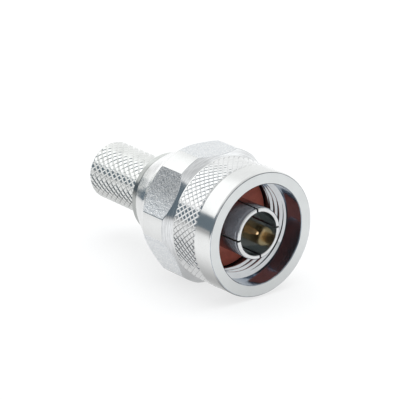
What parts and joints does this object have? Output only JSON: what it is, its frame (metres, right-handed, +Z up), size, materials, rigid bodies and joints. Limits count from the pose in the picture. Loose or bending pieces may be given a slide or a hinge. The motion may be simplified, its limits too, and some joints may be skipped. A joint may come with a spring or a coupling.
{
  "type": "n type connector",
  "caption": "Straight crimp coaxial plug: threaded coupling nut with knurl and hexagon, slotted outer contact, gold pin, red gasket and knurled crimp ferrule.",
  "frame": {"origin": "on the connector's axis, in the mating plane, which is the front end of the slotted outer contact", "axes": "+X along the axis, out of the mating end; the cable leaves along -X; +Z up, with a flat of the hexagon facing down"},
  "size_m": [0.0377, 0.0218, 0.0204],
  "materials": {
    "nut_plating": "bright nickel plating on turned brass",
    "contact_plating": "satin white-bronze plating",
    "gold": "gold plating on brass",
    "insulator": "plain white, slightly waxy",
    "gasket": "smooth moulded silicone, brick red",
    "body_plating": "nickel plating on turned brass",
    "ferrule_plating": "nickel plating over a diamond knurl"
  },
  "bodies": {
    "core": {"front_body": "body_plating", "crimp_body": "body_plating", "outer_contact": "contact_plating", "center_contact": "gold", "front_insulator": "insulator", "rear_insulator": "insulator", "face_gasket": "gasket"},
    "nut": {"coupling_nut": "nut_plating"},
    "ferrule": {"crimp_ferrule": "ferrule_plating"}
  },
  "joints": [
    {"name": "nut_spin", "type": "hinge", "parent": "core", "child": "nut", "pos_m": [-0.017, 0, 0], "axis": [1, 0, 0], "continuous": true},
    {"name": "ferrule_slide", "type": "slide", "parent": "core", "child": "ferrule", "axis": [-1, 0, 0], "range_m": [0, 0.012]}
  ]
}
